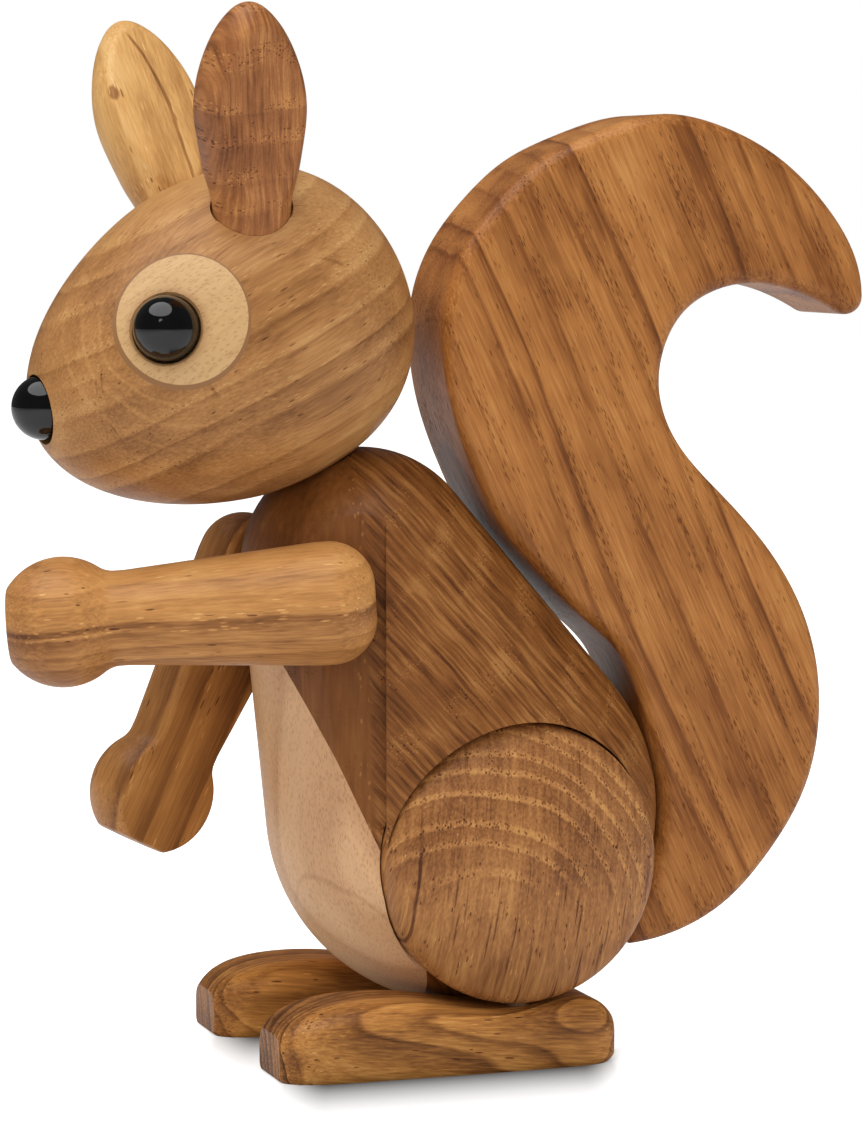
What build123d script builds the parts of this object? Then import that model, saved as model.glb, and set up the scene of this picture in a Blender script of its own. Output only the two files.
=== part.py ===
from build123d import *
from math import acos, asin, atan, cos, degrees, hypot, pi, radians, sin, sqrt
import os

os.makedirs("parts", exist_ok=True)

# Squirrel figurine of oiled oak, with a maple belly and eye discs and black beads for eyes and nose.
# Millimetres. +Z is up, the nose points to -Y, the squirrel's left is +X, the feet stand on Z = 0.

# Whole figure
ground_to_depth_middle = 0.34        # shift along Y that centres the footprint of the whole figure
overrun = 60.0                      # how far cutting bodies run past the wood
glue_clearance = 0.1                # play of glued round pieces in their sockets
running_clearance = 0.05            # play of a dowel that turns in its bore
face_gap = 0.3                      # air between faces that move past each other
neck_gap = 0.2                      # air between the head and the neck

# Torso: a round cone, the turned pear, leaning forward
torso_belly_radius = 31.3
torso_shoulder_radius = 19.0
torso_length = 42.5                 # between the centres of the two round ends
torso_lean = 23.3                   # degrees from upright
torso_ground_clearance = 6.3
torso_set_back = 5.0                # lower round end behind the middle of the figure
neck_flat_height = 17.8             # above the centre of the shoulder end
belly_seam_depth = 19.9             # glue line of the belly ahead of the torso's axis

# Neck pin
neck_pin_radius = 3.0
neck_pin_in_torso = 18.0
neck_pin_in_head = 14.0
blind_hole_extra = 0.5              # free depth past the end of a dowel

# Head: an egg with a blunt back, lying along its own Y
head_radius = 25.0
head_front_length = 34.1
head_back_length = 29.4
head_front_fullness = 1.52
head_back_fullness = 2.77
head_back_overhang = 23.58          # back of the head behind the neck axis
head_back_pull = 0.5                # share of the usual pull on the outline square to the axis, at the back
head_flat_depth = 1.15              # depth of the flat that rests on the neck
head_pitch = 1.5                    # degrees, nose down from square to the neck
head_roll = 2.0                     # degrees, left side down
head_turn = 7.0                     # degrees, towards the squirrel's left

# Eyes
eye_disc_radius = 10.5
eye_disc_depth = 8.0
eye_ahead = 13.0                    # eye disc ahead of the head's middle
eye_angle = 26.9                    # degrees above the side of the head
bead_radius = 5.0
bead_seat_depth = 4.6               # centre of a bead above the bottom of its bore
bead_clearance = 0.25
eye_bead_ahead = 2.6                # bead ahead of the disc's centre
eye_bead_sink = 0.2
bore_edge = 0.4
nose_ahead = 31.8
nose_rise = 3.7

# Ears: turned paddles with two milled faces
ear_length = 31.8
ear_width = 17.0
ear_root_radius = 6.0
ear_socket_step = 0.33               # wider mouth of the socket
ear_socket_mouth = 1.5              # how deep the mouth goes below the surface
ear_tenon_length = 7.0
ear_swell_start = 1.0               # the ear starts to widen this far below the surface
ear_mill_start = 12.6               # thickness where the milled faces start
ear_tip_thickness = 7.2
ear_edge_round = 1.4
ear_behind = 6.7                    # ear root behind the head's middle
ear_angle = 53.0                    # degrees above the side of the head
ear_splay = 20.8                    # degrees outward from the head's up direction
ear_sweep = 14.2                    # degrees to the back

# Arms: turned, with a ball hand, milled flat on the inner side
arm_toe_in = 18.0                   # degrees
arm_cant = 5.0                      # degrees
arm_length = 39.0                   # pivot to the centre of the hand
shoulder_radius = 9.45
shoulder_end = 8.8                  # end of the turning behind the pivot
shoulder_round = 7.0
wrist_radius = 7.3
wrist_to_hand = 9.75                # from the slimmest turning to the middle of the ball hand
wrist_blend = 4.0
hand_radius = 10.0
hand_tip_radius = 5.6
hand_tip_round = 1.2
arm_flat_depth = 4.73               # inner face behind the arm's axis
arm_edge_round = 0.6
arm_seat_depth = 1.8                # how deep the torso is milled at the shoulder
arm_step_gap = 0.3                  # between the shoulder's back and the milled step
pivot_ahead = 6.3
pivot_drop = 5.6
right_pivot_rise = 1.5              # the right arm sits a little higher and further back
right_pivot_back = 0.8
left_arm_drop = 4.0                 # degrees below level, as photographed
right_arm_drop = 63.5

# Shoulder pins
shoulder_pin_radius = 3.0
shoulder_pin_in_arm = 8.5
shoulder_pin_in_torso = 9.5

# Haunches: domed discs let into the sides
haunch_radius = 22.2
haunch_root_radius = 21.9
haunch_let_in = 13.45               # inner face inside the belly's round
haunch_wall = 7.2
haunch_thickness = 14.3
haunch_edge_round = 4.0
haunch_back = 1.8                   # centre behind the centre of the torso's lower end
haunch_drop = 5.6
haunch_pin_radius = 3.0
haunch_pin_in_torso = 9.0
haunch_pin_in_haunch = 9.0

# Feet
foot_length = 54.3
foot_height = 11.6
foot_width = 17.8
foot_centre_outside = 0.6           # outside of the haunch's inner face
foot_toe_ahead = 39.3               # toe ahead of the haunch's centre line
foot_pin_radius = 2.0
foot_pin_outside = 3.4              # pin outside of the haunch's inner face
foot_pin_in_foot = 6.0
foot_pin_in_haunch = 8.0

# Tail: a slab sawn to an S
tail_thickness = 21.0
tail_height = 132.8
tail_depth = 71.9
tail_foot_height = 15.2
tail_nest = 37.4                    # front edge of the tail ahead of the back of the belly's round
tail_edge_round = 2.5
tail_seat_depth = 0.6               # how far the torso's round back lets into the tail's front edge
tail_seat_turns = (-40, -25, -10, 5, 20)    # degrees round the belly's centre where the front edge follows the torso
tail_pin_radius = 3.0
tail_pin_in_torso = 14.0
tail_pin_in_tail = 11.0
upper_tail_pin_rise = 9.0           # above the centre of the torso's lower end
lower_tail_pin_drop = 9.0

# Outlines, as shares
# ear: (half width, height), from the root to the tip
ear_outline_shares = [(0.835, 0.15), (0.915, 0.27), (1.0, 0.49), (0.79, 0.76), (0.4, 0.94)]
# tail: (depth, height) from above the torso seat up the front edge, over the top to the hook
tail_front_shares = [(0.419, 0.353), (0.328, 0.400), (0.227, 0.454), (0.136, 0.513), (0.072, 0.579),
                     (0.025, 0.648), (0.003, 0.716), (0.010, 0.785), (0.050, 0.842), (0.134, 0.901), (0.225, 0.944),
                     (0.353, 0.977), (0.527, 1.000), (0.651, 0.987), (0.782, 0.953), (0.914, 0.888), (0.979, 0.832),
                     (0.999, 0.781)]
# tail: under the hook and down the back to the lower tip
tail_back_shares = [(0.942, 0.761), (0.873, 0.780), (0.789, 0.794), (0.712, 0.797), (0.638, 0.788), (0.566, 0.763),
                     (0.519, 0.718), (0.509, 0.672), (0.542, 0.617), (0.661, 0.543), (0.764, 0.483), (0.839, 0.422),
                     (0.890, 0.348), (0.903, 0.273), (0.872, 0.185), (0.775, 0.099), (0.668, 0.042), (0.552, 0.011),
                     (0.444, 0.000)]
# foot: (length, width, bottom, top) of its cross-sections from toe to heel; the sole is cut flat on the floor
foot_station_shares = [(0.0, 0.62, 0.03, 0.6), (0.05, 0.83, -0.06, 0.81), (0.14, 0.97, -0.09, 0.95), (0.3, 1.0, -0.09, 1.0),
                       (0.47, 1.0, -0.09, 0.92), (0.7, 0.98, -0.09, 0.8), (0.86, 0.96, -0.09, 0.88),
                       (0.955, 0.88, -0.05, 0.83), (1.0, 0.74, 0.06, 0.64)]
foot_crown_share = 0.38              # rounding of the upper corners, of the section's height
foot_sole_share = 0.18


left, right = 1, -1


def axial_plane(base):
    """The plane that holds the base plane's axis: radius along x, height along y."""
    return Plane(origin=base.origin, x_dir=base.x_dir, z_dir=-base.y_dir)


def axis_of(base):
    return Axis(base.origin, base.z_dir)


# How far the shoulder's rounded corner swings round the pivot
shoulder_reach = hypot(shoulder_end - shoulder_round, shoulder_radius - shoulder_round) + shoulder_round

# Planes of the torso and the neck
torso_centre_z = torso_ground_clearance + torso_belly_radius
torso_centre_y = torso_set_back + ground_to_depth_middle
lean = radians(torso_lean)
torso_plane = Plane(origin=(0, torso_centre_y, torso_centre_z), x_dir=(1, 0, 0), z_dir=(0, -sin(lean), cos(lean)))
neck_plane = torso_plane.offset(torso_length)
seam_plane = Plane(origin=torso_plane.origin - torso_plane.y_dir * belly_seam_depth,
                   x_dir=torso_plane.x_dir, z_dir=torso_plane.y_dir)
neck_top = neck_plane.offset(neck_flat_height)
head_seat = neck_top.offset(neck_gap)

# Profile of the torso
taper = degrees(asin((torso_belly_radius - torso_shoulder_radius) / torso_length))
neck_edge = degrees(asin(neck_flat_height / torso_shoulder_radius))
with BuildSketch(axial_plane(torso_plane)) as pear:
    with BuildLine():
        lower_arc = CenterArc((0, 0), torso_belly_radius, -90, 90 + taper)
        upper_arc = CenterArc((0, torso_length), torso_shoulder_radius, taper, neck_edge - taper)
        Line(lower_arc @ 1, upper_arc @ 0)
        Polyline(upper_arc @ 1, (0, torso_length + neck_flat_height), lower_arc @ 0)
    make_face()


def shoulder_plane(side, drop):
    """Plane of one arm: z outward along the pivot, x along the arm, turned down from level."""
    toe, cant, fall = radians(arm_toe_in), radians(arm_cant), radians(drop)
    out = Vector(side * cos(toe) * cos(cant), -sin(toe) * cos(cant), sin(cant))
    level = Vector(-side * sin(toe), -cos(toe), 0)
    down = out.cross(level) * side
    reach = torso_shoulder_radius - arm_seat_depth + face_gap + arm_flat_depth
    pivot = neck_plane.origin + out * reach + level * pivot_ahead + down * pivot_drop
    if side == right:
        pivot = pivot - level * right_pivot_back - down * right_pivot_rise
    return Plane(origin=pivot, x_dir=level * cos(fall) + down * sin(fall), z_dir=out)


def haunch_plane(side):
    return Plane(origin=(side * haunch_x, haunch_y, haunch_z), x_dir=(0, 0, 1), z_dir=(side, 0, 0))


haunch_x = torso_belly_radius - haunch_let_in
haunch_y = torso_centre_y + haunch_back
haunch_z = torso_centre_z - haunch_drop

# Tail pins lie level, across the nest
upper_tail_pin_z = torso_centre_z + upper_tail_pin_rise
lower_tail_pin_z = torso_centre_z - lower_tail_pin_drop
upper_nest_y = torso_centre_y + sqrt(torso_belly_radius ** 2 - upper_tail_pin_rise ** 2)
lower_nest_y = torso_centre_y + sqrt(torso_belly_radius ** 2 - lower_tail_pin_drop ** 2)
upper_tail_pin_plane = Plane(origin=(0, upper_nest_y - tail_pin_in_torso, upper_tail_pin_z),
                             x_dir=(1, 0, 0), z_dir=(0, 1, 0))
lower_tail_pin_plane = Plane(origin=(0, lower_nest_y - tail_pin_in_torso, lower_tail_pin_z),
                             x_dir=(1, 0, 0), z_dir=(0, 1, 0))
tail_pin_length = tail_pin_in_torso + tail_pin_in_tail

# Torso
with BuildPart() as torso:
    revolve(pear.sketch, axis=axis_of(torso_plane))
    split(bisect_by=seam_plane, keep=Keep.TOP)
    for side in (left, right):
        level_arm = shoulder_plane(side, 0)
        seat_width = 2 * overrun
        with BuildSketch(level_arm.offset(-arm_flat_depth - face_gap)):
            with Locations((seat_width / 2 - shoulder_reach - arm_step_gap, 0)):
                Rectangle(seat_width, seat_width)
        extrude(amount=overrun, mode=Mode.SUBTRACT)
        with BuildSketch(level_arm.offset(-arm_flat_depth - face_gap - shoulder_pin_in_torso - blind_hole_extra)):
            Circle(shoulder_pin_radius + running_clearance)
        extrude(amount=overrun, mode=Mode.SUBTRACT)
        with BuildSketch(haunch_plane(side)):
            Circle(haunch_radius + glue_clearance)
        extrude(amount=overrun, mode=Mode.SUBTRACT)
        with BuildSketch(haunch_plane(side).offset(-haunch_pin_in_torso)):
            Circle(haunch_pin_radius)
        extrude(amount=haunch_pin_in_torso, mode=Mode.SUBTRACT)
    with BuildSketch(neck_top):
        Circle(neck_pin_radius)
    extrude(amount=-neck_pin_in_torso, mode=Mode.SUBTRACT)
    with BuildSketch(upper_tail_pin_plane):
        Circle(tail_pin_radius)
    extrude(amount=tail_pin_in_torso + overrun, mode=Mode.SUBTRACT)
    with BuildSketch(lower_tail_pin_plane):
        Circle(tail_pin_radius)
    extrude(amount=tail_pin_in_torso + overrun, mode=Mode.SUBTRACT)

# Belly, turned together with the torso
with BuildPart() as belly:
    revolve(pear.sketch, axis=axis_of(torso_plane))
    split(bisect_by=seam_plane, keep=Keep.BOTTOM)
    for side in (left, right):
        with BuildSketch(shoulder_plane(side, 0).offset(-arm_flat_depth - face_gap)):
            Rectangle(2 * overrun, 2 * overrun)
        extrude(amount=overrun, mode=Mode.SUBTRACT)
        with BuildSketch(haunch_plane(side)):
            Circle(haunch_radius + glue_clearance)
        extrude(amount=overrun, mode=Mode.SUBTRACT)

# Neck pin, glued in the torso
with BuildPart() as neck_pin:
    with BuildSketch(neck_top.offset(-neck_pin_in_torso)):
        Circle(neck_pin_radius)
    extrude(amount=neck_pin_in_torso + neck_gap + neck_pin_in_head)

# Head
head_plane = Plane(
    neck_plane.location
    * Location((0, 0, 0), (0, 0, head_turn))
    * Location((0, head_back_overhang - head_back_length,
                neck_flat_height + neck_gap + head_radius - head_flat_depth), (head_pitch, head_roll, 0))
)


def egg_radius(forward):
    """Radius of the head at a distance ahead of its middle."""
    if forward > 0:
        return head_radius * sqrt(max(0, 1 - (forward / head_front_length) ** head_front_fullness))
    return head_radius * sqrt(max(0, 1 - (-forward / head_back_length) ** head_back_fullness))


def egg_normal_lean(forward):
    """Angle by which the surface leans to the nose there."""
    step = head_front_length / 1000
    return atan((egg_radius(forward - step) - egg_radius(forward + step)) / (2 * step))


def head_surface_plane(side, forward, angle):
    """Plane on the head's surface: z outward, x to the nose."""
    around, tip = radians(angle), egg_normal_lean(forward)
    radial = head_plane.x_dir * side * cos(around) + head_plane.z_dir * sin(around)
    nose = head_plane.y_dir * -1
    place = head_plane.origin + nose * forward + radial * egg_radius(forward)
    return Plane(origin=place, x_dir=nose * cos(tip) - radial * sin(tip), z_dir=nose * sin(tip) + radial * cos(tip))


def ear_plane(side):
    """Plane of one ear: z along the ear, x across its broad face, y through its thickness."""
    splay, sweep = radians(ear_splay), radians(ear_sweep)
    along = (head_plane.x_dir * side * sin(splay) + head_plane.z_dir * cos(splay)) * cos(sweep)
    along = along + head_plane.y_dir * sin(sweep)
    root = head_surface_plane(side, -ear_behind, ear_angle).origin
    across = along.cross(head_plane.x_dir * side)
    return Plane(origin=root, x_dir=across, z_dir=along)


front_steps = [i * pi / 18 for i in range(9, -1, -1)]
back_steps = [i * pi / 18 for i in range(1, 10)]
egg_points = [(egg_radius(head_front_length * sin(a)), -head_front_length * sin(a)) for a in front_steps]
egg_points = egg_points + [(egg_radius(-head_back_length * sin(a)), head_back_length * sin(a)) for a in back_steps]
with BuildSketch(head_plane) as egg:
    with BuildLine():
        egg_curve = Spline(*egg_points, tangents=[(1, 0), (-1, 0)], tangent_scalars=[1, head_back_pull])
        Line(egg_curve @ 1, egg_curve @ 0)
    make_face()
head_axis = Axis(head_plane.origin, head_plane.y_dir)

nose_plane = Plane(origin=head_plane.origin - head_plane.y_dir * nose_ahead + head_plane.z_dir * nose_rise,
                   x_dir=head_plane.x_dir, z_dir=-head_plane.y_dir)
bead_bore_radius = bead_radius + bead_clearance


def eye_plane(side):
    return head_surface_plane(side, eye_ahead, eye_angle)


def eye_bead_plane(side):
    base = eye_plane(side)
    return Plane(origin=base.origin + base.x_dir * eye_bead_ahead - base.z_dir * eye_bead_sink,
                 x_dir=base.x_dir, z_dir=base.z_dir)


with BuildPart() as head:
    revolve(egg.sketch, axis=head_axis)
    split(bisect_by=head_seat, keep=Keep.TOP)
    with BuildSketch(head_seat):
        Circle(neck_pin_radius + running_clearance)
    extrude(amount=neck_pin_in_head + blind_hole_extra, mode=Mode.SUBTRACT)
    for side in (left, right):
        with BuildSketch(eye_plane(side).offset(-eye_disc_depth)):
            Circle(eye_disc_radius)
        extrude(amount=eye_disc_depth + overrun, mode=Mode.SUBTRACT)
        with BuildSketch(ear_plane(side).offset(-ear_tenon_length)):
            Circle(ear_root_radius + glue_clearance)
        extrude(amount=ear_tenon_length + overrun, mode=Mode.SUBTRACT)
        with BuildSketch(ear_plane(side).offset(-ear_socket_mouth)):
            Circle(ear_root_radius + ear_socket_step)
        extrude(amount=ear_socket_mouth + overrun, mode=Mode.SUBTRACT)
    with BuildSketch(nose_plane.offset(-bead_seat_depth)):
        Circle(bead_bore_radius)
    extrude(amount=bead_seat_depth + overrun, mode=Mode.SUBTRACT)

with BuildPart() as nose:
    with Locations(nose_plane):
        Sphere(bead_radius)
    split(bisect_by=nose_plane.offset(-bead_seat_depth), keep=Keep.TOP)

# Ear profile: radius along x, height along the ear
ear_outline = [(across * ear_width / 2, up * ear_length) for across, up in ear_outline_shares]

for side, name in ((left, "left"), (right, "right")):
    # Eye disc, flush with the head, and its bead
    with BuildPart() as eye_disc:
        revolve(egg.sketch, axis=head_axis)
        with BuildSketch(eye_plane(side).offset(-eye_disc_depth)):
            Circle(eye_disc_radius)
        extrude(amount=eye_disc_depth + overrun, mode=Mode.INTERSECT)
        with BuildSketch(eye_bead_plane(side).offset(-bead_seat_depth)):
            Circle(bead_bore_radius)
        extrude(amount=bead_seat_depth + overrun, mode=Mode.SUBTRACT)
        chamfer(eye_disc.edges().filter_by(GeomType.CIRCLE, reverse=True)
                .sort_by_distance(eye_bead_plane(side).origin)[0], bore_edge)
    eye_disc.part.label = name + "_eye_disc"
    export_step(eye_disc.part, "parts/" + eye_disc.part.label + ".step")

    with BuildPart() as eye:
        with Locations(eye_bead_plane(side)):
            Sphere(bead_radius)
        split(bisect_by=eye_bead_plane(side).offset(-bead_seat_depth), keep=Keep.TOP)
    eye.part.label = name + "_eye"
    export_step(eye.part, "parts/" + eye.part.label + ".step")

    # Ear: turned, then milled on both broad faces
    base = ear_plane(side)
    with BuildPart() as ear:
        with BuildSketch(axial_plane(base)):
            with BuildLine():
                ear_curve = Spline((ear_root_radius, -ear_swell_start), *ear_outline, (0, ear_length),
                                   tangents=[(0, 1), (-1, 0)])
                Polyline(ear_curve @ 1, (0, -ear_tenon_length), (ear_root_radius, -ear_tenon_length), ear_curve @ 0)
            make_face()
        revolve(axis=axis_of(base))
        with BuildSketch(Plane(origin=base.origin, x_dir=base.y_dir, z_dir=base.x_dir)):
            Polygon((-ear_mill_start / 2, -ear_tenon_length), (ear_mill_start / 2, -ear_tenon_length),
                    (ear_mill_start / 2, 0), (ear_tip_thickness / 2, ear_length),
                    (-ear_tip_thickness / 2, ear_length), (-ear_mill_start / 2, 0), align=None)
        extrude(amount=overrun, both=True, mode=Mode.INTERSECT)
        milled = ear.faces().filter_by(GeomType.PLANE).sort_by(SortBy.AREA)[-2:]
        fillet(milled.edges(), ear_edge_round)
    ear.part.label = name + "_ear"
    export_step(ear.part, "parts/" + ear.part.label + ".step")

    # Arm with its pin
    arm_plane = shoulder_plane(side, left_arm_drop if side == left else right_arm_drop)
    inner_face = arm_plane.offset(-arm_flat_depth)
    with BuildPart() as arm:
        with BuildSketch(arm_plane) as arm_profile:
            with BuildLine():
                wrist = (arm_length - wrist_to_hand, wrist_radius)
                hand_start = 180 - degrees(asin(wrist_radius / hand_radius))
                tip_angle = degrees(asin(hand_tip_radius / hand_radius))
                hand_arc = CenterArc((arm_length, 0), hand_radius, hand_start, tip_angle - hand_start)
                Polyline((-shoulder_end, 0), (-shoulder_end, shoulder_radius), (0, shoulder_radius), wrist, hand_arc @ 0)
                Polyline(hand_arc @ 1, ((hand_arc @ 1).X, 0), (-shoulder_end, 0))
            make_face()
            fillet(arm_profile.vertices().sort_by_distance((-shoulder_end, shoulder_radius))[0], shoulder_round)
            fillet(arm_profile.vertices().sort_by_distance(hand_arc @ 0)[0], wrist_blend)
            fillet(arm_profile.vertices().sort_by_distance(hand_arc @ 1)[0], hand_tip_round)
        revolve(axis=Axis(arm_plane.origin, arm_plane.x_dir))
        split(bisect_by=inner_face, keep=Keep.TOP)
        fillet(arm.faces().filter_by(GeomType.PLANE).sort_by(SortBy.AREA)[-1].edges(), arm_edge_round)
        with BuildSketch(inner_face):
            Circle(shoulder_pin_radius)
        extrude(amount=shoulder_pin_in_arm, mode=Mode.SUBTRACT)
    arm.part.label = name + "_arm"
    export_step(arm.part, "parts/" + arm.part.label + ".step")

    with BuildPart() as shoulder_pin:
        with BuildSketch(inner_face.offset(-face_gap - shoulder_pin_in_torso)):
            Circle(shoulder_pin_radius)
        extrude(amount=shoulder_pin_in_torso + face_gap + shoulder_pin_in_arm)
    shoulder_pin.part.label = name + "_shoulder_pin"
    export_step(shoulder_pin.part, "parts/" + shoulder_pin.part.label + ".step")

    # Haunch with its dowel
    base = haunch_plane(side)
    foot_pin_x = haunch_x + foot_pin_outside
    foot_pin_plane = Plane(origin=(side * foot_pin_x, haunch_y, haunch_z - haunch_radius), x_dir=(1, 0, 0), z_dir=(0, 0, 1))
    with BuildPart() as haunch:
        with BuildSketch(axial_plane(base)) as haunch_profile:
            with BuildLine():
                cap = haunch_thickness - haunch_wall
                dome_radius = (haunch_radius ** 2 + cap ** 2) / (2 * cap)
                rim = degrees(acos(haunch_radius / dome_radius))
                dome = CenterArc((0, haunch_thickness - dome_radius), dome_radius, rim, 90 - rim)
                Polyline(dome @ 1, (0, 0), (haunch_root_radius, 0), dome @ 0)
            make_face()
            fillet(haunch_profile.vertices().sort_by_distance(dome @ 0)[0], haunch_edge_round)
        revolve(axis=axis_of(base))
        with BuildSketch(base):
            Circle(haunch_pin_radius)
        extrude(amount=haunch_pin_in_haunch, mode=Mode.SUBTRACT)
        with BuildSketch(foot_pin_plane.offset(foot_pin_in_haunch)):
            Circle(foot_pin_radius)
        extrude(amount=-overrun, mode=Mode.SUBTRACT)
    haunch.part.label = name + "_haunch"
    export_step(haunch.part, "parts/" + haunch.part.label + ".step")

    with BuildPart() as haunch_pin:
        with BuildSketch(base.offset(-haunch_pin_in_torso)):
            Circle(haunch_pin_radius)
        extrude(amount=haunch_pin_in_torso + haunch_pin_in_haunch)
    haunch_pin.part.label = name + "_haunch_dowel"
    export_step(haunch_pin.part, "parts/" + haunch_pin.part.label + ".step")

    # Foot: side profile, rounded in plan, its top hollowed by what it carries
    foot_x = haunch_x + foot_centre_outside
    toe_y = haunch_y - foot_toe_ahead
    with BuildPart() as foot:
        for along, across, bottom, top in foot_station_shares:
            station = Plane(origin=(side * foot_x, toe_y + along * foot_length, bottom * foot_height),
                            x_dir=(1, 0, 0), z_dir=(0, -1, 0))
            with BuildSketch(station) as section:
                rise = (top - bottom) * foot_height
                Rectangle(across * foot_width, rise, align=(Align.CENTER, Align.MIN))
                fillet(section.vertices().group_by(Axis.Y)[-1], foot_crown_share * rise)
                fillet(section.vertices().group_by(Axis.Y)[0], foot_sole_share * rise)
        loft()
        split(bisect_by=Plane.XY, keep=Keep.TOP)
        add(torso.part, mode=Mode.SUBTRACT)
        add(belly.part, mode=Mode.SUBTRACT)
        add(haunch.part, mode=Mode.SUBTRACT)
        with BuildSketch(foot_pin_plane.offset(-foot_pin_in_foot)):
            Circle(foot_pin_radius)
        extrude(amount=overrun, mode=Mode.SUBTRACT)
    foot.part.label = name + "_foot"
    export_step(foot.part, "parts/" + foot.part.label + ".step")

    with BuildPart() as foot_pin:
        with BuildSketch(foot_pin_plane.offset(-foot_pin_in_foot)):
            Circle(foot_pin_radius)
        extrude(amount=foot_pin_in_foot + foot_pin_in_haunch)
    foot_pin.part.label = name + "_foot_dowel"
    export_step(foot_pin.part, "parts/" + foot_pin.part.label + ".step")

# Tail
tail_plane = Plane(origin=(0, torso_centre_y + torso_belly_radius - tail_nest, tail_foot_height),
                   x_dir=(0, 1, 0), z_dir=(1, 0, 0))


tail_seat_radius = torso_belly_radius - tail_seat_depth
tail_seat_points = [(tail_nest - torso_belly_radius + tail_seat_radius * cos(radians(turn)),
                     torso_centre_z - tail_foot_height + tail_seat_radius * sin(radians(turn)))
                    for turn in tail_seat_turns]


def tail_points(shares):
    return [(along * tail_depth, up * tail_height) for along, up in shares]


with BuildPart() as tail:
    with BuildSketch(tail_plane):
        with BuildLine():
            front_edge = Spline(*tail_seat_points, *tail_points(tail_front_shares))
            back_edge = Spline(*tail_points(tail_back_shares))
            TangentArc(front_edge @ 1, back_edge @ 0, tangent=front_edge % 1)
            Line(back_edge @ 1, front_edge @ 0)
        make_face()
    extrude(amount=tail_thickness / 2, both=True)
    fillet(tail.faces().filter_by(Axis.X).edges(), tail_edge_round)
    add(torso.part, mode=Mode.SUBTRACT)
    for plane in (upper_tail_pin_plane, lower_tail_pin_plane):
        with BuildSketch(plane):
            Circle(tail_pin_radius)
        extrude(amount=tail_pin_length, mode=Mode.SUBTRACT)

with BuildPart() as upper_tail_dowel:
    with BuildSketch(upper_tail_pin_plane):
        Circle(tail_pin_radius)
    extrude(amount=tail_pin_length)

with BuildPart() as lower_tail_dowel:
    with BuildSketch(lower_tail_pin_plane):
        Circle(tail_pin_radius)
    extrude(amount=tail_pin_length)

pieces = {"torso": torso, "belly": belly, "neck_pin": neck_pin, "head": head, "nose": nose, "tail": tail,
          "upper_tail_dowel": upper_tail_dowel, "lower_tail_dowel": lower_tail_dowel}
for name, piece in pieces.items():
    piece.part.label = name
    export_step(piece.part, "parts/" + name + ".step")
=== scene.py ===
import math

import bpy
from mathutils import Matrix, Vector

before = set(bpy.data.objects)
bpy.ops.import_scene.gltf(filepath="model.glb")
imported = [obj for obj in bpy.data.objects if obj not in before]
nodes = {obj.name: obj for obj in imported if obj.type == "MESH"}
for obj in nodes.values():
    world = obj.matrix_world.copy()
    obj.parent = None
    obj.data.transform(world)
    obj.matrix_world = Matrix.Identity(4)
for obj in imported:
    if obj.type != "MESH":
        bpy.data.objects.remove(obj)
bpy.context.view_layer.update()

# Objects are in metres. Inside the materials every length is in millimetres.
MILLIMETRES = 1000.0

# Depth of the bump in metres, and roughness and specular level on the shader's own scales
OAK_BUMP, OAK_ROUGHNESS, OAK_SHINE = 0.00006, 0.42, 0.25
MAPLE_BUMP, MAPLE_ROUGHNESS, MAPLE_SHINE = 0.00003, 0.46, 0.4

# Where plain wood lies on a piece's scale of tones, from 0, the darkest, to 1, the lightest
MIDDLE_TONE = 0.62
TONE_STOPS = (0.0, 0.33, 0.64, 1.0)


def linear(tone):
    """A screen colour, 0 to 255, as the linear colour that shaders take."""
    out = []
    for c in tone:
        c = c / 255
        out.append(c / 12.92 if c <= 0.04045 else ((c + 0.055) / 1.055) ** 2.4)
    return tuple(out) + (1.0,)


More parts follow.
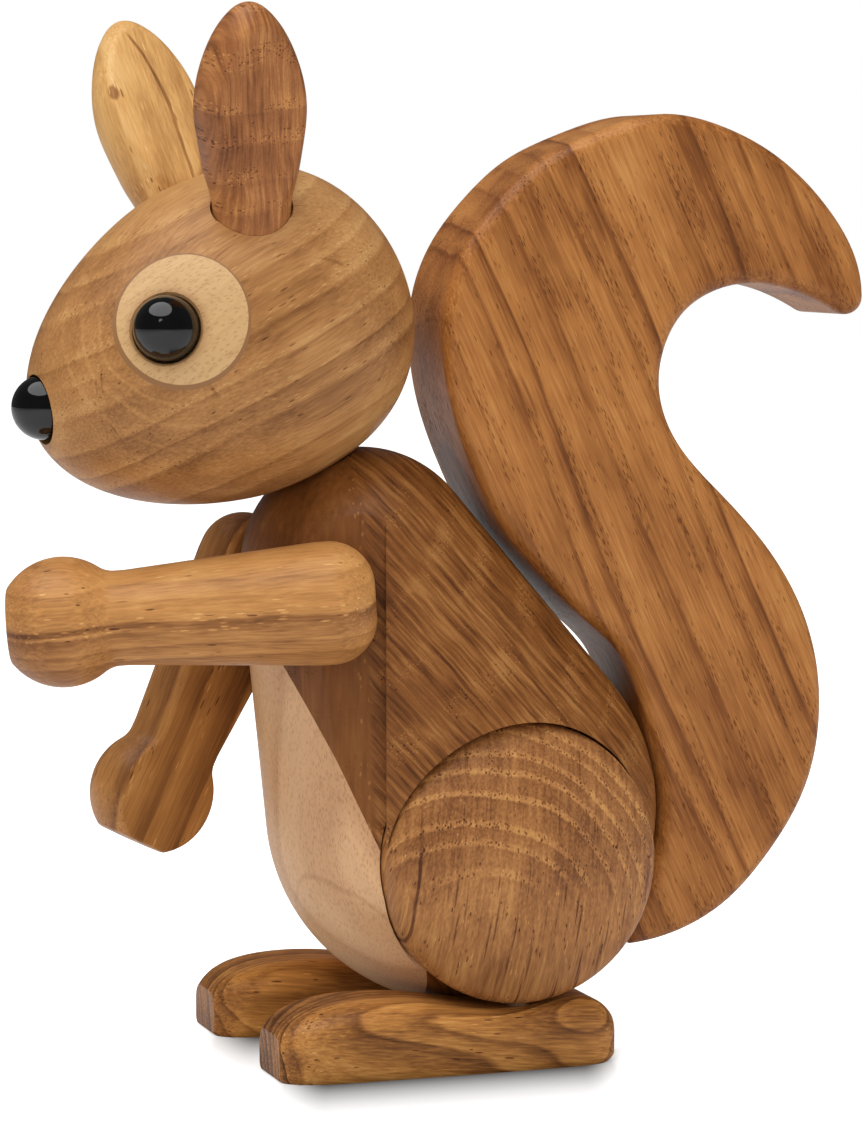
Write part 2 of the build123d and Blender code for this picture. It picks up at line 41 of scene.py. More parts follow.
class Graph:
    """One material's nodes, built up call by call."""

    def __init__(self, name):
        self.material = bpy.data.materials.new(name)
        self.material.use_nodes = True
        self.tree = self.material.node_tree
        self.tree.nodes.clear()
        self.shader = self.node("ShaderNodeBsdfPrincipled")
        self.output = self.node("ShaderNodeOutputMaterial")
        self.link(self.shader.outputs["BSDF"], self.output.inputs["Surface"])

    def node(self, kind, **settings):
        made = self.tree.nodes.new(kind)
        for key, value in settings.items():
            setattr(made, key, value)
        return made

    def link(self, source, target):
        self.tree.links.new(source, target)

    def put(self, socket, value):
        """Links a socket to another one, or sets its own value."""
        if isinstance(value, bpy.types.NodeSocket):
            self.link(value, socket)
        else:
            socket.default_value = value

    def math(self, operation, *values):
        made = self.node("ShaderNodeMath", operation=operation)
        for socket, value in zip(made.inputs, values):
            self.put(socket, value)
        return made.outputs[0]

    def add(self, *values):
        total = values[0]
        for value in values[1:]:
            total = self.math("ADD", total, value)
        return total

    def times(self, *values):
        total = values[0]
        for value in values[1:]:
            total = self.math("MULTIPLY", total, value)
        return total

    def diagonal(self, a, b):
        """The length of the diagonal of a rectangle with sides a and b."""
        return self.math("SQRT", self.add(self.times(a, a), self.times(b, b)))

    def beyond(self, value, middle, half):
        """How far a value is past a stretch that reaches half to either side of middle."""
        return self.math("MAXIMUM", self.add(self.math("ABSOLUTE", self.add(value, -middle)), -half), 0.0)

    def between(self, share, a, b):
        """From a, at a share of 0, to b, at 1."""
        made = self.node("ShaderNodeMix", data_type="FLOAT")
        self.put(made.inputs[0], share)
        self.put(made.inputs[2], a)
        self.put(made.inputs[3], b)
        return made.outputs[0]

    def step(self, value, low, high, start=0.0, end=1.0):
        """A soft step: start on the side of low, end on the side of high."""
        made = self.node("ShaderNodeMapRange", interpolation_type="SMOOTHSTEP")
        for socket, item in zip(made.inputs, (value, low, high, start, end)):
            self.put(socket, item)
        return made.outputs[0]

    def line(self, value, place, outer, inner):
        """1 where a value is within inner of place, 0 where it is more than outer away."""
        return self.step(self.math("ABSOLUTE", self.add(value, -place)), outer, inner)

    def vector(self, operation, a, b=None, scale=None):
        made = self.node("ShaderNodeVectorMath", operation=operation)
        self.put(made.inputs[0], a)
        if b is not None:
            self.put(made.inputs[1], b)
        if scale is not None:
            self.put(made.inputs["Scale"], scale)
        return made.outputs["Value" if operation in ("DOT_PRODUCT", "LENGTH") else "Vector"]

    def split(self, value):
        made = self.node("ShaderNodeSeparateXYZ")
        self.link(value, made.inputs[0])
        return tuple(made.outputs)

    def combine(self, x, y, z):
        made = self.node("ShaderNodeCombineXYZ")
        for socket, value in zip(made.inputs, (x, y, z)):
            self.put(socket, value)
        return made.outputs[0]

    def place(self):
        """The point on the surface, in millimetres."""
        return self.vector("SCALE", self.node("ShaderNodeTexCoord").outputs["Object"], scale=MILLIMETRES)

    def cut(self, fibre, across, origin):
        """Lays out the block that a piece is cut from, as p and q.

        p is the place from origin. q is the same place on the block's own axes: out through the growth rings,
        along them, and along the fibres.
        """
        fibre = Vector(fibre).normalized()
        across = Vector(across)
        across = (across - fibre * across.dot(fibre)).normalized()
        self.p = self.vector("SUBTRACT", self.place(), origin)
        u, v, w = (self.vector("DOT_PRODUCT", self.p, tuple(axis)) for axis in (across, fibre.cross(across), fibre))
        self.q = self.combine(u, v, w)
        return u, v, w

    def off_axis(self, at, axis):
        """How far a point is from the line through the origin along an axis of length 1."""
        along = self.vector("DOT_PRODUCT", at, axis)
        squared = self.math("SUBTRACT", self.vector("DOT_PRODUCT", at, at), self.times(along, along))
        return self.math("SQRT", self.math("MAXIMUM", squared, 0.0))

    def off_point(self, at, centre, scale):
        """How far a point is from a centre, with each direction scaled by its own number."""
        return self.vector("LENGTH", self.vector("MULTIPLY", self.vector("SUBTRACT", at, centre), scale))

    def shifted(self, at, stretch, seed):
        """A point stretched by three numbers and moved by its seed, so that no two patterns are the same."""
        return self.vector("ADD", self.vector("MULTIPLY", at, stretch), (seed, 1.7 * seed, 0.6 * seed))

    def noise(self, at, stretch, seed, detail=1.0, rough=0.5):
        """Smooth noise from 0 to 1. Stretch is how often it varies in a millimetre, along each axis."""
        made = self.node("ShaderNodeTexNoise", noise_dimensions="3D")
        self.put(made.inputs["Vector"], self.shifted(at, stretch, seed))
        self.put(made.inputs["Scale"], 1.0)
        self.put(made.inputs["Detail"], detail)
        self.put(made.inputs["Roughness"], rough)
        return made.outputs[0]

    def wander(self, at, stretch, seed, reach=1.0, detail=1.0, rough=0.5):
        """Noise that lies round zero, reach from its lowest to its highest."""
        return self.times(self.add(self.noise(at, stretch, seed, detail, rough), -0.5), reach)

    def noise_1d(self, at, seed):
        made = self.node("ShaderNodeTexNoise", noise_dimensions="1D")
        self.put(made.inputs["W"], self.math("ADD", at, seed))
        self.put(made.inputs["Scale"], 1.0)
        self.put(made.inputs["Detail"], 1.0)
        return made.outputs[0]

    def chance(self, at):
        """A number from 0 to 1 that is unlike its neighbours."""
        made = self.node("ShaderNodeTexWhiteNoise", noise_dimensions="1D")
        self.put(made.inputs["W"], at)
        return made.outputs["Value"]

    def cells(self, at, stretch, seed):
        """Distance to the nearest of scattered points, and two random numbers of that point."""
        made = self.node("ShaderNodeTexVoronoi", feature="F1")
        self.put(made.inputs["Vector"], self.shifted(at, stretch, seed))
        self.put(made.inputs["Scale"], 1.0)
        parts = self.node("ShaderNodeSeparateColor")
        self.link(made.outputs["Color"], parts.inputs[0])
        return made.outputs["Distance"], parts.outputs[0], parts.outputs[1]

    def ramp(self, value, stops):
        """A colour for each value, from stops of a place and a colour."""
        made = self.node("ShaderNodeValToRGB")
        elements = made.color_ramp.elements
        while len(elements) < len(stops):
            elements.new(0.5)
        for element, (place, colour) in zip(elements, stops):
            element.position = place
            element.color = tuple(colour[:3]) + (1.0,)
        self.put(made.inputs[0], value)
        return made.outputs[0]

    def grey(self, value, stops):
        return self.ramp(value, [(place, (level, level, level)) for place, level in stops])

    def tones(self, value, tones, tint):
        """Four colours from dark to light, each tinted by the same three numbers."""
        tinted = [tuple(c * k for c, k in zip(linear(tone), tint)) for tone in tones]
        return self.ramp(value, list(zip(TONE_STOPS, tinted)))

    def finish(self, colour, height, depth, roughness, shine):
        """Fills in the shader: its colour, a bump with its height and its depth in metres, and its gloss."""
        self.put(self.shader.inputs["Base Color"], colour)
        bump = self.node("ShaderNodeBump")
        bump.inputs["Strength"].default_value = 1.0
        bump.inputs["Distance"].default_value = depth
        self.link(height, bump.inputs["Height"])
        self.link(bump.outputs["Normal"], self.shader.inputs["Normal"])
        self.put(self.shader.inputs["Roughness"], roughness)
        self.shader.inputs["Specular IOR Level"].default_value = shine
        return self.material


def wood(name, fibre, across, origin, tones, pith, spacing, lines, pores, rays, streaks, clouds, seed, tint,
         wave=1.5, rows=0.10, scatter=0.12, pore_size=1.0, pore_dark=0.45, pore_pale=0.28, pale_share=0.5,
         ray_dark=0.14, ribs=0.0, rib_width=1.0, rib_length=1.0, sway=1.0, more=None):
    """Open-pored wood cut from one block.

    fibre is the block's length, and across points from the pith out through the growth rings. origin is a point in
    the piece, pith away from the block's pith. The rings are spacing wide and wander by wave.
    These are steps on the scale of tones: lines for the dark late wood, rows for the porous early wood, pore_dark
    and pore_pale for the two kinds of pores, ray_dark for the rays, ribs, streaks and clouds.
    pores is how many pores there are, scatter how many of them lie outside the early wood, pale_share the share of
    pale ones, and rays how many rays there are. rib_width, rib_length and sway shape the ribs, which are long marks.
    tint multiplies each colour, and more adds what one piece alone has.
    """
    g = Graph(name)
    u, v, w = g.cut(fibre, across, origin)
    q = g.q

    # Growth rings, each with its own strength, porous at its inner edge and dark at its outer one
    bend = g.wander(q, (0.04, 0.04, 0.014), seed, 2 * wave)
    wiggle = g.wander(q, (0.35, 0.35, 0.07), seed + 3, 0.5, detail=2.0)
    turn = g.times(g.diagonal(g.add(u, bend, wiggle, pith), v), 1 / spacing)
    turn = g.add(turn, g.times(g.add(g.noise_1d(g.times(turn, 0.41), seed), -0.5), 1.5))
    g.within = g.math("FRACT", turn)
    ring = g.math("FLOOR", turn)
    strength = g.add(g.times(g.chance(g.add(ring, seed)), 0.7), 0.3)
    late = g.times(g.grey(g.within, [(0.0, 0.55), (0.07, 0.0), (0.45, 0.12), (0.8, 0.55), (0.94, 1.0), (1.0, 0.55)]),
                   strength)
    early = g.grey(g.within, [(0.0, 0.5), (0.06, 1.0), (0.22, 0.8), (0.42, 0.0), (0.95, 0.0), (1.0, 0.5)])

    # Unevenness at three sizes
    streak = g.wander(q, (2.6, 2.6, 0.11), seed + 5, detail=3.0, rough=0.65)
    cloud = g.wander(q, (0.1, 0.1, 0.03), seed + 9, detail=2.0, rough=0.55)
    glow = g.wander(q, (0.22, 0.22, 0.16), seed + 13)

    # Pores, crowded in the early wood
    gap, pick, kind = g.cells(q, (2.3 / pore_size, 2.3 / pore_size, 0.36 / pore_size), seed)
    crowd = g.step(g.noise(q, (0.16, 0.16, 0.05), seed + 21), 0.38, 0.62)
    density = g.add(g.times(early, crowd, pores * 1.5), pores * scatter)
    pore = g.times(g.step(gap, 0.40, 0.24), g.step(g.math("SUBTRACT", density, pick), 0.0, 0.02))
    pale = g.times(pore, g.step(kind, 1 - pale_share, 1.02 - pale_share))
    dark = g.math("SUBTRACT", pore, pale)

    # Rays and ribs
    gap, pick, _ = g.cells(q, (0.14, 2.6, 0.07), seed + 31)
    ray = g.times(g.step(gap, 0.42, 0.20), g.step(pick, rays, rays - 0.02))
    bent = g.add(v, g.wander(q, (0.22, 0.10, 0.10), seed + 25, sway))
    rib = g.wander(g.combine(u, bent, w), (0.07 / rib_length, 0.95 / rib_width, 0.06), seed + 27, detail=2.5, rough=0.6)
    rib_mass = g.add(0.65, g.times(g.noise(q, (0.12, 0.16, 0.1), seed + 29), 0.7))

    tone = g.add(MIDDLE_TONE, g.times(rib, rib_mass, 2 * ribs), g.times(late, -lines), g.times(early, crowd, rows),
                 g.times(streak, streaks), g.times(cloud, clouds), g.times(glow, 0.22), g.times(dark, -pore_dark),
                 g.times(pale, pore_pale), g.times(ray, -ray_dark))
    if more:
        tone = more(g, tone)
    height = g.add(g.times(pore, -0.8), g.times(late, -0.25), g.times(streak, 0.55), g.times(ray, -0.25))
    roughness = g.add(OAK_ROUGHNESS, g.times(pore, 0.2), g.times(streak, -0.2))
    return g.finish(g.tones(tone, tones, tint), height, OAK_BUMP, roughness, OAK_SHINE)


def maple(name, fibre, across, origin, tones, seed, tint, pith=60.0, spacing=5.0, lines=0.22, flecks=0.2, more=None):
    """Pale close-grained wood with short lens-shaped flecks, laid out as wood() is."""
    g = Graph(name)
    u, v, _ = g.cut(fibre, across, origin)
    bend = g.wander(g.q, (0.05, 0.05, 0.02), seed, 5.0)
    turn = g.times(g.diagonal(g.add(u, bend, pith), v), 1 / spacing)
    within = g.math("FRACT", g.add(turn, g.times(g.noise_1d(g.times(turn, 0.7), seed), 1.2)))
    late = g.grey(within, [(0.0, 0.5), (0.1, 0.0), (0.6, 0.15), (0.93, 1.0), (1.0, 0.5)])
    streak = g.wander(g.q, (3.0, 3.0, 0.2), seed + 5, detail=2.0, rough=0.6)
    cloud = g.wander(g.q, (0.09, 0.09, 0.04), seed + 9, detail=2.0)
    gap, pick, _ = g.cells(g.q, (2.0, 4.2, 1.1), seed)
    fleck = g.times(g.step(gap, 0.52, 0.25), g.step(pick, 0.75, 0.55))

    tone = g.add(MIDDLE_TONE, g.times(late, -lines), g.times(streak, 0.18), g.times(cloud, 0.32),
                 g.times(fleck, -flecks))
    if more:
        tone = more(g, tone)
    height = g.add(g.times(fleck, -0.4), g.times(streak, 0.6))
    roughness = g.add(MAPLE_ROUGHNESS, g.times(fleck, 0.06))
    return g.finish(g.tones(tone, tones, tint), height, MAPLE_BUMP, roughness, MAPLE_SHINE)


def dress(names, material):
    for name in names:
        nodes[name].material_slots[0].material = material


# Screen colours from dark to light
oak_head = [(84, 50, 24), (136, 90, 50), (186, 134, 82), (222, 176, 118)]
oak_body = [(62, 36, 16), (110, 69, 36), (152, 103, 60), (190, 143, 94)]
oak_tail = [(88, 48, 20), (134, 82, 40), (180, 122, 68), (212, 160, 100)]
oak_ear = [(70, 38, 20), (120, 74, 42), (156, 103, 62), (196, 142, 88)]
oak_honey = [(110, 70, 34), (176, 122, 68), (224, 172, 108), (244, 204, 146)]
oak_arm = [(88, 52, 26), (146, 98, 56), (196, 143, 88), (228, 182, 122)]
oak_far = [(70, 40, 18), (112, 70, 36), (148, 99, 54), (182, 132, 80)]
oak_haunch = [(84, 48, 24), (130, 84, 48), (174, 122, 74), (210, 160, 98)]
oak_foot = [(78, 46, 22), (126, 82, 44), (172, 120, 66), (206, 158, 100)]
maple_belly = [(150, 104, 72), (186, 142, 104), (214, 174, 134), (236, 204, 168)]
maple_disc = [(160, 116, 76), (204, 160, 112), (232, 194, 144), (246, 216, 172)]
beech = [(110, 74, 44), (140, 98, 60), (164, 120, 78), (188, 144, 98)]

# The axes of the eye discs, pointing out of the head
left_eye_out = (0.888, -0.389, 0.249)
right_eye_out = (-0.770, -0.600, 0.220)


def head_more(g, tone):
    """Faint arcs in the figure below and before the left eye, and a crown painted lighter, as where light falls from
    above.
    """
    place = g.vector("SUBTRACT", g.p, (17.2, -12.4, 3.4))
    high = g.vector("DOT_PRODUCT", place, left_eye_out)
    around = g.add(g.off_axis(place, left_eye_out), g.wander(g.p, (0.12, 0.12, 0.12), 80, 1.6))
    below = g.vector("DOT_PRODUCT", place, (0.1, -0.6, -0.79))
    ahead = g.times(g.step(below, 4.0, 9.0), g.step(high, -9.0, -6.0))
    arcs = g.add(g.line(around, 15.6, 0.5, 0.1), g.line(around, 12.9, 0.4, 0.1),
                 g.times(g.line(around, 18.6, 0.5, 0.1), 0.7))
    # Painted light: the top of the head is made lighter, as where light falls from above
    painted_top_light = g.step(g.split(g.p)[2], 9.0, 24.0)
    return g.add(tone, g.times(arcs, ahead, 0.10), g.times(painted_top_light, 0.12))


def torso_more(g, tone):
    """The milled flats are plainer than the turned back, with a crowded row of pores at their edge."""
    _, y, _ = g.split(g.p)
    flat = g.step(y, -17.9, -19.1)
    calm = g.add(0.57, g.wander(g.p, (0.9, 0.9, 0.07), 40, 0.6, detail=3.0, rough=0.6),
                 g.wander(g.p, (0.12, 0.12, 0.05), 44, 0.5))
    gap, pick, _ = g.cells(g.p, (1.7, 1.7, 0.9), 47)
    edge = g.times(g.step(y, -21.2, -20.0), g.step(y, -18.4, -18.9), g.step(gap, 0.5, 0.1), g.step(pick, 0.45, 0.4))
    return g.add(g.between(flat, tone, calm), g.times(edge, 0.36))


def left_arm_more(g, tone):
    """Honey sapwood above a row of pores, browner heartwood below it, and a darker hand."""
    up, _, along = g.split(g.q)
    height = g.add(up, g.wander(g.q, (0.1, 0.1, 0.05), 50, 3.0))
    above = g.step(height, -0.6, 1.2)
    line = g.times(g.step(height, -1.5, -0.9), g.step(height, 0.0, -0.5))
    gap, pick, kind = g.cells(g.q, (2.0, 2.0, 0.42), 53)
    row = g.times(g.step(height, -2.6, -1.6), g.step(height, 1.4, 0.6), g.step(gap, 0.45, 0.2),
                  g.step(pick, 0.6, 0.55))
    hand = g.step(along, 12.0, 22.0)
    return g.add(tone, -0.08, g.times(hand, -0.12), g.times(above, 0.13), g.times(line, -0.3),
                 g.times(row, g.step(kind, 0.4, 0.45), 0.38), g.times(row, -0.1))


def right_ear_more(g, tone):
    """A dark line that bows down the ear, browner wood behind it, painted shade along a fold beyond the line, and one
    small knot.
    """
    aside, _, high = g.split(g.q)
    top = g.math("MAXIMUM", g.add(high, -6.0), 0.0)
    bow = g.add(aside, 3.0, g.times(top, top, 0.0195), g.wander(g.q, (0.15, 0.15, 0.12), 70, 1.4))
    line = g.times(g.line(bow, 0.0, 0.40, 0.10), g.step(high, 20.0, 17.0))
    behind = g.times(g.step(bow, 0.0, 3.0), g.step(high, 14.0, -6.0))
    # Painted shade: a darker band along the ear's fold, beyond the dark line
    painted_fold_shade = g.times(g.line(bow, -4.0, 2.6, 0.3), g.step(high, 14.0, 2.0))
    knot = g.step(g.off_point(g.q, (-11.2, 0.0, 9.0), (1.0, 0.0, 0.6)), 1.0, 0.5)
    return g.add(tone, g.times(line, -0.36), g.times(behind, -0.14), g.times(painted_fold_shade, -0.12), g.times(knot, -0.42))


def haunch_more(g, tone):
    """Light rows of pores in the upper half, where the fibres come up to the surface.

    Below are dark slits along the fibres, one of them long.
    """
    _, y, z = g.split(g.p)
    high = g.add(z, g.times(y, 0.10), g.wander(g.p, (0.12, 0.12, 0.12), 60, 8.0))
    upper = g.step(high, -3.0, 4.0)
    lower = g.step(high, 2.0, -3.0)
    band = g.grey(g.within, [(0.0, 0.2), (0.08, 1.0), (0.30, 0.75), (0.42, 0.0), (0.95, 0.0), (1.0, 0.2)])
    strength = g.add(0.55, g.times(g.chance(g.math("FLOOR", g.add(g.times(high, 0.3), 90.0))), 0.6))
    gap, pick, _ = g.cells(g.q, (2.2, 2.2, 0.7), 63)
    dots = g.times(g.step(gap, 0.46, 0.24), g.step(pick, 0.82, 0.76), band, upper)
    gap, pick, _ = g.cells(g.q, (0.09, 1.3, 0.055), 65)
    slits = g.times(g.step(gap, 0.30, 0.10), g.step(pick, 0.62, 0.57), lower)
    aside = g.add(g.split(g.q)[1], g.wander(g.q, (0.1, 0.1, 0.12), 67, 1.6))
    long_slit = g.times(g.line(aside, -3.4, 0.3, 0.08), g.step(z, 6.0, 0.0))
    return g.add(tone, g.times(upper, -0.13), g.times(lower, 0.05), g.times(band, upper, strength, 0.30),
                 g.times(dots, -0.55), g.times(slits, -0.48), g.times(long_slit, -0.5))


def foot_more(g, tone):
    """The cut end of the toe takes the oil darker."""
    return g.add(tone, g.times(g.step(g.split(g.p)[1], -22.5, -25.5), -0.24))


def belly_more(g, tone):
    """Lighter towards the bottom, where one growth line shows as a long arch."""
    low = g.step(g.split(g.p)[2], 6.0, -16.0)
    arch = g.add(g.off_point(g.p, (9.0, 4.0, -22.0), (0.8, 0.8, 0.42)), g.wander(g.p, (0.1, 0.1, 0.08), 90, 2.0), -11.0)
    return g.add(tone, g.times(low, 0.10), g.times(g.line(arch, 0.0, 0.4, 0.05), -0.13),
                 g.times(g.step(arch, 0.0, -5.0), 0.06))


def disc_more(outward, hole):
    """A dark line painted at the disc's rim as shade in the groove where it meets the head, and a painted shade round
    the bead's hole.
    """
    def more(g, tone):
        # Painted shade: a dark line in the groove at the rim, and a shade round the bead's hole as in a countersink
        painted_rim_shade = g.step(g.off_axis(g.p, outward), 9.94, 10.08)
        painted_shade = g.step(g.off_axis(g.vector("SUBTRACT", g.p, hole), outward), 7.0, 4.9)
        return g.add(tone, g.times(painted_rim_shade, -0.8), g.times(painted_shade, -0.28))
    return more


dress(["head"], wood(
    "oak_head", fibre=(0.121, -0.872, -0.475), across=(0.0, -0.48, 0.88), origin=(0.6, -32.3, 112.4), tones=oak_head,
    pith=400, spacing=4.2, lines=0.24, pores=0.55, pore_size=0.85, pore_dark=0.3, pore_pale=0.2, pale_share=0.75,
    rays=0.05, streaks=0.65, clouds=0.6, seed=1.0, tint=(0.90, 0.85, 0.76), more=head_more))
dress(["torso"], wood(
    "oak_torso", fibre=(1.0, -0.08, 0.1), across=(0.0, 0.64, -0.77), origin=(0, 2.7, 49.7), tones=oak_body,
    pith=70, spacing=9.0, wave=3.5, lines=0.05, pores=0.6, scatter=0.0, pale_share=0.8, rays=0.0,
    ribs=0.8, rib_width=0.6, rib_length=0.7, sway=0.5, streaks=0.25, clouds=0.6, seed=2.0, tint=(0.76, 0.62, 0.42),
    more=torso_more))
dress(["left_arm"], wood(
    "oak_left_arm", fibre=(-0.306, -0.95, -0.07), across=(0.05, -0.1, 0.99), origin=(14.9, -43.6, 72.0), tones=oak_arm,
    pith=120, spacing=3.4, lines=0.2, pores=0.25, rays=0.03, streaks=0.6, clouds=0.4, seed=3.0,
    tint=(1.05, 0.98, 0.84), more=left_arm_more))
dress(["right_arm"], wood(
    "oak_right_arm", fibre=(0.067, -0.447, -0.892), across=(0.5, 0.8, -0.3), origin=(-19.7, -32.9, 57.0), tones=oak_far,
    pith=45, spacing=4.4, lines=0.4, pores=0.4, rays=0.03, streaks=0.6, clouds=0.5, seed=4.0,
    tint=(1.6, 1.65, 1.45)))
dress(["left_ear"], wood(
    "oak_left_ear", fibre=(0.96, 0.17, -0.24), across=(0.30, -0.1, 0.95), origin=(19.2, -34.8, 144.0), tones=oak_ear,
    pith=60, spacing=6.0, wave=3.5, lines=0.12, pores=1.4, pore_dark=0.36, scatter=0.01, pale_share=0.35, rays=0.0,
    ribs=0.6, rib_width=0.55, rib_length=0.6, streaks=0.3, clouds=0.8, seed=5.0, tint=(1.1, 1.0, 0.86)))
dress(["right_ear"], wood(
    "oak_right_ear", fibre=(-0.337, -0.198, 0.92), across=(0.0, 0.97, 0.2), origin=(-17.8, -34.0, 143.4),
    tones=oak_honey, pith=20, spacing=5.5, wave=2.5, lines=0.16, pores=0.3, pale_share=0.8, rays=0.03,
    streaks=0.6, clouds=0.5, seed=6.0, tint=(0.95, 0.95, 0.88), more=right_ear_more))
for name, side, seed in (("left_haunch", 1, 7.0), ("right_haunch", -1, 8.0)):
    dress([name], wood(
        "oak_" + name, fibre=(side * 0.52, 0.05, 0.85), across=(side * -0.85, 0.12, 0.52),
        origin=(side * 23.4, -14.0, 32.1), tones=oak_haunch, pith=80, spacing=2.7, wave=3.0, lines=0.10, rows=0.0,
        pores=0.5, pore_size=0.9, scatter=0.1, rays=0.10, ray_dark=0.2, ribs=0.3, rib_width=0.7, rib_length=0.6,
        streaks=0.8, clouds=0.5, seed=seed, tint=(0.98, 0.90, 0.80), more=haunch_more))
dress(["left_foot"], wood(
    "oak_left_foot", fibre=(0.10, -1.0, 0.10), across=(0.9, 0.1, 0.45), origin=(18.4, -5.6, 5.0), tones=oak_foot,
    pith=16, spacing=1.7, wave=4.0, lines=0.65, pores=0.3, rays=0.03, streaks=1.0, clouds=1.3, seed=9.0,
    tint=(1.25, 1.17, 0.96), more=foot_more))
dress(["right_foot"], wood(
    "oak_right_foot", fibre=(-0.08, -1.0, 0.08), across=(0.9, 0.1, 0.45), origin=(-18.4, -5.6, 5.0), tones=oak_far,
    pith=18, spacing=2.1, wave=4.0, lines=0.5, pores=0.25, rays=0.03, streaks=0.9, clouds=1.0, seed=10.0,
    tint=(1.95, 1.95, 1.45), more=foot_more))
dress(["tail"], wood(
    "oak_tail", fibre=(0.0, 0.42, -0.908), across=(0.1, 0.89, 0.41), origin=(0, 34.7, 91.8), tones=oak_tail,
    pith=260, spacing=5.2, wave=4.0, lines=0.44, rows=-0.13, pores=0.9, pore_size=0.62, pore_dark=0.26, pore_pale=0.2,
    pale_share=0.3, rays=0.05, streaks=0.8, clouds=0.7, seed=11.0, tint=(1.0, 0.91, 0.74)))
dress(["belly"], maple(
    "maple_belly", fibre=(0.0, 0.22, -0.97), across=(0.6, -0.78, 0.0), origin=(0, -17.8, 31.2), tones=maple_belly,
    lines=0.2, seed=1.0, tint=(1.14, 1.08, 1.0), more=belly_more))
dress(["left_eye_disc"], maple(
    "maple_left_disc", fibre=(0.25, 0.80, 0.54), across=(0.2, -0.5, 0.8), origin=(17.84, -44.73, 115.8),
    tones=maple_disc, spacing=2.2, lines=0.07, flecks=0.16, seed=4.0, tint=(0.84, 0.79, 0.69),
    more=disc_more(left_eye_out, hole=(-0.47, -2.05, -1.53))))
dress(["right_eye_disc"], maple(
    "maple_right_disc", fibre=(-0.45, 0.70, 0.55), across=(-0.2, -0.5, 0.8), origin=(-13.29, -48.39, 115.28),
    tones=maple_disc, spacing=2.2, lines=0.07, flecks=0.16, seed=5.0, tint=(0.84, 0.79, 0.69),
    more=disc_more(right_eye_out, hole=(1.02, -1.86, -1.50))))
# The dowels' beech is tinted to half its brightness, a painted shade, so that where they show in the gaps between
# pieces they look as dark as the shade there
dress(["neck_pin", "left_shoulder_pin", "right_shoulder_pin", "left_haunch_dowel", "right_haunch_dowel",
       "left_foot_dowel", "right_foot_dowel", "upper_tail_dowel", "lower_tail_dowel"], maple(
    "beech_dowel", fibre=(0.0, 0.0, 1.0), across=(1.0, 0.0, 0.0), origin=(0, 0, 0), tones=beech,
    spacing=2.0, seed=8.0, tint=(0.5, 0.46, 0.42)))


def bead(name):
    """Polished black, with the faint haze and fine swirl of a tumbled bead."""
    g = Graph(name)
    haze = g.noise(g.place(), (0.35, 0.35, 0.35), 2.0, detail=3.0)
    g.put(g.shader.inputs["Base Color"], g.ramp(haze, [(0.3, linear((5, 5, 5))), (0.7, linear((9, 9, 10)))]))
    g.put(g.shader.inputs["Roughness"], g.step(haze, 0.3, 0.75, 0.035, 0.08))
    g.shader.inputs["Specular IOR Level"].default_value = 0.5
    return g.material


dress(["left_eye", "right_eye", "nose"], bead("black_bead"))

# The camera stands at the photograph's angle and distance, with its focal length and height in pixels
AZIMUTH, ELEVATION, DISTANCE = math.radians(71.2), math.radians(5.1), 0.6363
FOCAL_PIXELS, FRAME_PIXELS, SENSOR = 3999.6, 1121, 24.0
right = Vector((math.cos(AZIMUTH), math.sin(AZIMUTH), 0))
look = Vector((-math.sin(AZIMUTH) * math.cos(ELEVATION), math.cos(AZIMUTH) * math.cos(ELEVATION), -math.sin(ELEVATION)))
up = right.cross(look)
target = Vector((0, 0.00034, 0.07726))
camera = bpy.data.objects.new("camera", bpy.data.cameras.new("camera"))
bpy.context.scene.collection.objects.link(camera)
camera.matrix_world = Matrix((right, up, -look)).transposed().to_4x4()
camera.location = target - look * DISTANCE
camera.data.sensor_fit = "VERTICAL"
camera.data.sensor_height = SENSOR
camera.data.lens = SENSOR * FOCAL_PIXELS / FRAME_PIXELS
camera.data.clip_start = 0.01
bpy.context.scene.camera = camera

# The floor: its own colour, how it glows for the camera, and the share of that glow that reflections take
FLOOR_COLOUR, FLOOR_GLOW, MIRRORED_SHARE = (0.86, 0.86, 0.86), 0.85, 0.25
FLOOR_HALF = 3.0

# The soles' middles and half sizes, in millimetres, which place the painted shadow close round them
SOLE_X, SOLE_Y, SOLE_HALF_WIDTH, SOLE_HALF_LENGTH = 18.4, -4.9, 7.5, 24.5

# The bands of painted shadow: where each starts, at its sole's near side, and which way it runs out over the floor
SIDES_X, RUN_X, RUN_Y = (26.6, -10.4), 0.947, 0.322
BAND_Y, BAND_HALF_LENGTH = -5.6, 26.6
BAND_STRETCH = 8.0  # how many times further it reaches along its way than past its ends
BAND_FADE = 8.0     # how far past its ends it fades out, in millimetres
BAND_SHADE = [(0.0, 0.06), (0.11, 0.30), (0.22, 0.51), (0.34, 0.67), (0.45, 0.78), (0.56, 0.87), (0.70, 0.95),
              (0.88, 1.0)]


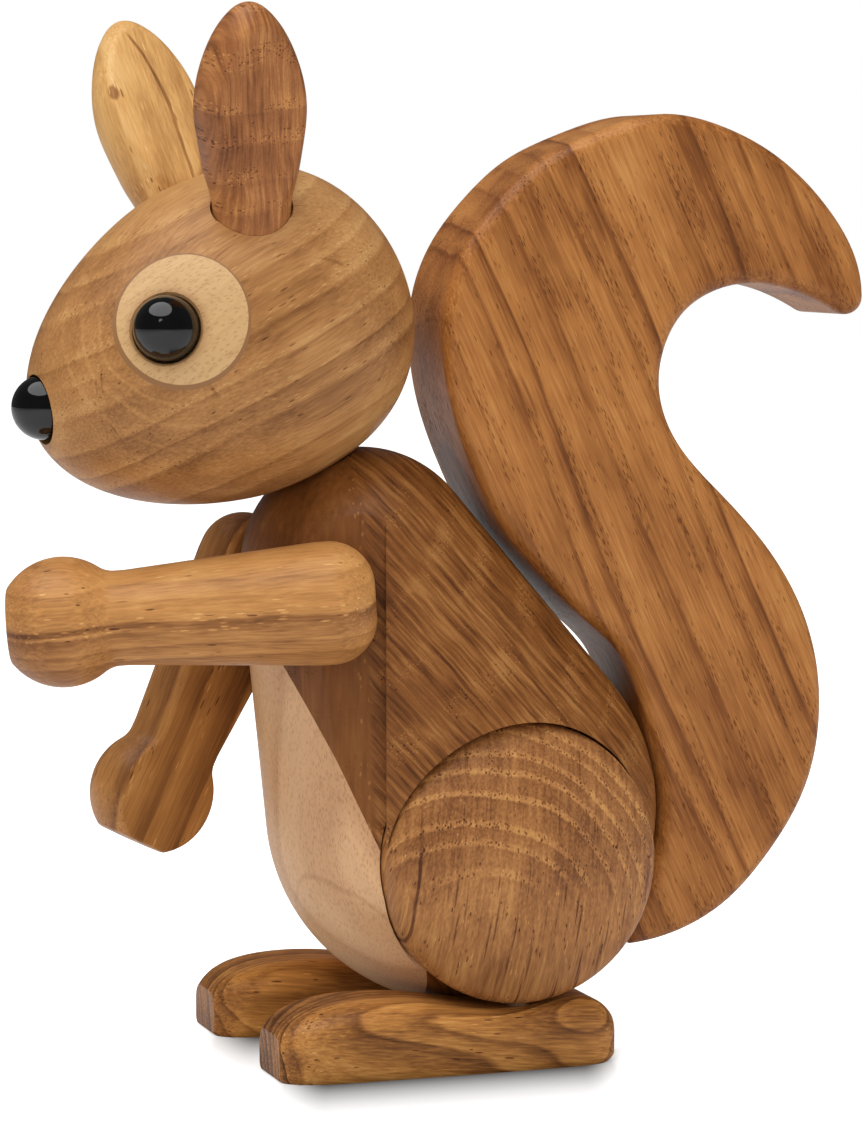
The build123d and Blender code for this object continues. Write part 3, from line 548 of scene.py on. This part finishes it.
def floor_material(name):
    """White floor that glows for what the camera sees, with a shadow painted into its colour and glow in a band at the
    feet's near sides and close round the soles.
    """
    g = Graph(name)
    g.shader.inputs["Roughness"].default_value = 0.9
    g.shader.inputs["Specular IOR Level"].default_value = 0.0
    x, y, _ = g.split(g.place())
    light = None
    # Painted shadow: each foot's band darkens the floor's colour and its glow
    for side_x in SIDES_X:
        travel = g.times(g.add(x, -side_x), 1 / RUN_X)
        along = g.add(y, g.times(travel, RUN_Y))
        # The soles narrow towards the toe and the heel, and the band starts further in there
        taper = g.add(g.times(g.step(along, -25.0, -34.0), 4.6), g.times(g.step(along, 17.5, 22.0), 1.6))
        travel = g.add(travel, taper)
        ahead = g.math("MAXIMUM", g.times(travel, 1 / BAND_STRETCH), 0.0)
        near = g.diagonal(ahead, g.beyond(along, BAND_Y, BAND_HALF_LENGTH))
        painted_shade = g.grey(g.times(near, 1 / BAND_FADE), BAND_SHADE)
        ends = g.times(g.step(along, -38.0, -25.0, 0.25, 1.0), g.step(along, 26.0, 16.0, 0.2, 1.0))
        painted_shade = g.add(1.0, g.times(ends, g.add(painted_shade, -1.0)))
        painted_shade = g.math("MAXIMUM", painted_shade, g.step(travel, -1.0, -12.0))
        light = painted_shade if light is None else g.math("MINIMUM", light, painted_shade)
    # A painted contact shadow close round both soles
    around = g.diagonal(g.beyond(g.math("ABSOLUTE", x), SOLE_X, SOLE_HALF_WIDTH), g.beyond(y, SOLE_Y, SOLE_HALF_LENGTH))
    light = g.math("MINIMUM", light, g.step(around, 0.0, 2.6, 0.25, 1.0))
    g.put(g.shader.inputs["Base Color"], g.vector("SCALE", FLOOR_COLOUR, scale=light))
    seen = g.node("ShaderNodeLightPath")
    straight = g.math("MAXIMUM", seen.outputs["Is Camera Ray"], seen.outputs["Is Transmission Ray"])
    mirrored = g.times(seen.outputs["Is Glossy Ray"], MIRRORED_SHARE)
    glow = g.node("ShaderNodeEmission")
    g.put(glow.inputs["Strength"], g.times(g.math("MAXIMUM", straight, mirrored), light, FLOOR_GLOW))
    blend = g.node("ShaderNodeAddShader")
    g.link(g.shader.outputs["BSDF"], blend.inputs[0])
    g.link(glow.outputs["Emission"], blend.inputs[1])
    g.link(blend.outputs[0], g.output.inputs["Surface"])
    return g.material


def square(name, half, material):
    """A level square under the soles, which isn't part of the object."""
    mesh = bpy.data.meshes.new(name)
    mesh.from_pydata([(-half, -half, 0), (half, -half, 0), (half, half, 0), (-half, half, 0)], [], [(0, 1, 2, 3)])
    mesh.materials.append(material)
    made = bpy.data.objects.new(name, mesh)
    bpy.context.scene.collection.objects.link(made)


square("floor", FLOOR_HALF, floor_material("floor_white"))


def surround(lit, mirrored, seen):
    """A white surrounding, with its own strength as light, in reflections and for the camera."""
    world = bpy.data.worlds.new("studio")
    bpy.context.scene.world = world
    world.use_nodes = True
    tree = world.node_tree
    tree.nodes.clear()

    def background(strength):
        made = tree.nodes.new("ShaderNodeBackground")
        made.inputs["Color"].default_value = (1.0, 1.0, 1.0, 1.0)
        made.inputs["Strength"].default_value = strength
        return made.outputs[0]

    def choose(share, otherwise, chosen):
        made = tree.nodes.new("ShaderNodeMixShader")
        for socket, source in zip(made.inputs, (share, otherwise, chosen)):
            tree.links.new(source, socket)
        return made.outputs[0]

    path = tree.nodes.new("ShaderNodeLightPath")
    straight = tree.nodes.new("ShaderNodeMath")
    straight.operation = "MAXIMUM"
    tree.links.new(path.outputs["Is Camera Ray"], straight.inputs[0])
    tree.links.new(path.outputs["Is Transmission Ray"], straight.inputs[1])
    light = choose(path.outputs["Is Glossy Ray"], background(lit), background(mirrored))
    result = tree.nodes.new("ShaderNodeOutputWorld")
    tree.links.new(choose(straight.outputs[0], light, background(seen)), result.inputs["Surface"])


surround(lit=0.40, mirrored=0.10, seen=1.0)


def softbox(name, direction, away, width, height, watts, mirrored=True):
    """A round lamp that faces the figure, away metres from it. mirrored is whether it shows in reflections."""
    lamp = bpy.data.lights.new(name, "AREA")
    lamp.shape = "ELLIPSE"
    lamp.size, lamp.size_y, lamp.energy = width, height, watts
    made = bpy.data.objects.new(name, lamp)
    bpy.context.scene.collection.objects.link(made)
    out = Vector(direction).normalized()
    made.location = target + out * away
    made.rotation_euler = out.to_track_quat("Z", "Y").to_euler()
    made.visible_glossy = mirrored


softbox("key", -0.26 * right + 0.91 * up - 0.34 * look, away=0.85, width=1.1, height=0.85, watts=6.3)
softbox("front", 0.05 * right + 0.3 * up - 0.95 * look, away=1.2, width=0.6, height=0.6, watts=2.2, mirrored=False)
softbox("side", 0.95 * right + 0.15 * up - 0.35 * look, away=1.1, width=0.6, height=0.6, watts=1.4, mirrored=False)

bpy.context.scene.view_settings.view_transform = "Standard"
